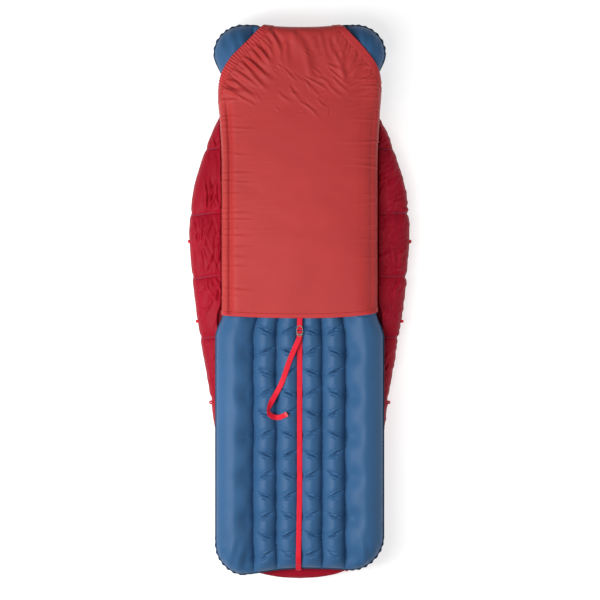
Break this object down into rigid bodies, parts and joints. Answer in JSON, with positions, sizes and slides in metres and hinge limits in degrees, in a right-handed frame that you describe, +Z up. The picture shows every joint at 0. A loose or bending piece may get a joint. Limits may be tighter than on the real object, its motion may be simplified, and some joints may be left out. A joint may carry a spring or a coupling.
{
  "type": "sleeping bag with inflatable pad",
  "caption": "Tapered quilted sleeping bag lying face down, with an inflatable pad held on its underside by a sleeve at the head half and a strap with a ladder buckle at the foot half.",
  "frame": {"origin": "centre of the footprint, on the floor", "axes": "+X to the pictured right side, +Y to the head, +Z up from the floor to the pad"},
  "size_m": [0.698, 1.7, 0.1804],
  "materials": {
    "shell_fabric": "satin woven nylon",
    "insulation": "soft fibre fill",
    "lining_fabric": "soft woven nylon",
    "sleeve_fabric": "satin woven nylon, thinner",
    "webbing": "flat woven webbing",
    "pad_fabric": "coated polyester",
    "plastic": "moulded",
    "zip_tape": "woven tape with nylon coil",
    "zip_metal": "plated"
  },
  "bodies": {
    "bag": {"front_shell": "shell_fabric", "side_shell_left": "shell_fabric", "side_shell_right": "shell_fabric", "underside_shell": "shell_fabric", "hood_rim_shell": "shell_fabric", "hood_back_shell": "shell_fabric", "draft_collar": "shell_fabric", "front_insulation": "insulation", "side_insulation_left": "insulation", "side_insulation_right": "insulation", "hood_rim_insulation": "insulation", "hood_back_insulation": "insulation", "front_lining": "lining_fabric", "underside_lining": "lining_fabric", "hood_lining": "lining_fabric", "draft_tube": "lining_fabric", "sleeve_panel": "sleeve_fabric", "sleeve_hem": "sleeve_fabric", "sleeve_corner_hem_left": "sleeve_fabric", "sleeve_corner_hem_right": "sleeve_fabric", "strap_anchor": "webbing", "strap_anchor_turn": "webbing", "strap_run": "webbing", "strap_tail": "webbing", "strap_tail_end": "webbing", "side_loop_left_1": "webbing", "side_loop_right_1": "webbing", "side_loop_left_2": "webbing", "side_loop_right_2": "webbing", "side_loop_left_3": "webbing", "side_loop_right_3": "webbing", "foot_loop_left": "webbing", "foot_loop_right": "webbing", "zip_tape_left": "zip_tape", "zip_tape_right": "zip_tape", "zip_coil_left": "zip_tape", "zip_coil_right": "zip_tape", "zip_head_stop": "zip_metal", "zip_foot_stop": "zip_metal", "hood_eyelet_left": "zip_metal", "hood_eyelet_right": "zip_metal"},
    "pad": {"pad_top_skin": "pad_fabric", "pad_bottom_skin": "pad_fabric", "pad_beam_1": "pad_fabric", "pad_beam_2": "pad_fabric", "pad_beam_3": "pad_fabric", "pad_beam_4": "pad_fabric", "pad_beam_5": "pad_fabric", "valve_base": "plastic"},
    "valve_cap": {"valve_cap": "plastic"},
    "valve_plug": {"valve_plug": "plastic"},
    "buckle": {"ladder_buckle": "plastic", "strap_grip_turn": "webbing"},
    "zip_head_slider": {"zip_head_slider": "zip_metal"},
    "zip_head_pull": {"zip_head_pull": "zip_metal"},
    "zip_foot_slider": {"zip_foot_slider": "zip_metal"},
    "zip_foot_pull": {"zip_foot_pull": "zip_metal"}
  },
  "joints": [
    {"name": "pad_slide", "type": "slide", "parent": "bag", "child": "pad", "axis": [0, -1, 0], "range_m": [0, 0.1], "deforming": ["strap_run"]},
    {"name": "valve_cap_hinge", "type": "hinge", "parent": "pad", "child": "valve_cap", "pos_m": [-0.225, 0.8, 0.0709], "axis": [0, 1, 0], "range_deg": [0, 110]},
    {"name": "valve_plug_pull", "type": "slide", "parent": "valve_cap", "child": "valve_plug", "axis": [0, 0, -1], "range_m": [0, 0.005]},
    {"name": "buckle_tilt", "type": "hinge", "parent": "bag", "child": "buckle", "pos_m": [0, -0.0821, 0.1734], "axis": [-1, 0, 0], "range_deg": [0, 30], "deforming": ["strap_anchor"]},
    {"name": "zip_head_slide", "type": "slide", "parent": "bag", "child": "zip_head_slider", "axis": [-0.0394, -0.9992, 0], "range_m": [0, 0.8]},
    {"name": "zip_head_pull_hinge", "type": "hinge", "parent": "zip_head_slider", "child": "zip_head_pull", "pos_m": [0.21353, 0.53601, 0.0099], "axis": [0.9992, -0.0394, 0], "range_deg": [0, 150]},
    {"name": "zip_foot_slide", "type": "slide", "parent": "bag", "child": "zip_foot_slider", "axis": [0.0394, 0.9992, 0], "range_m": [0, 0.28]},
    {"name": "zip_foot_pull_hinge", "type": "hinge", "parent": "zip_foot_slider", "child": "zip_foot_pull", "pos_m": [0.16847, -0.60801, 0.0099], "axis": [0.9992, -0.0394, 0], "range_deg": [0, 150]}
  ]
}
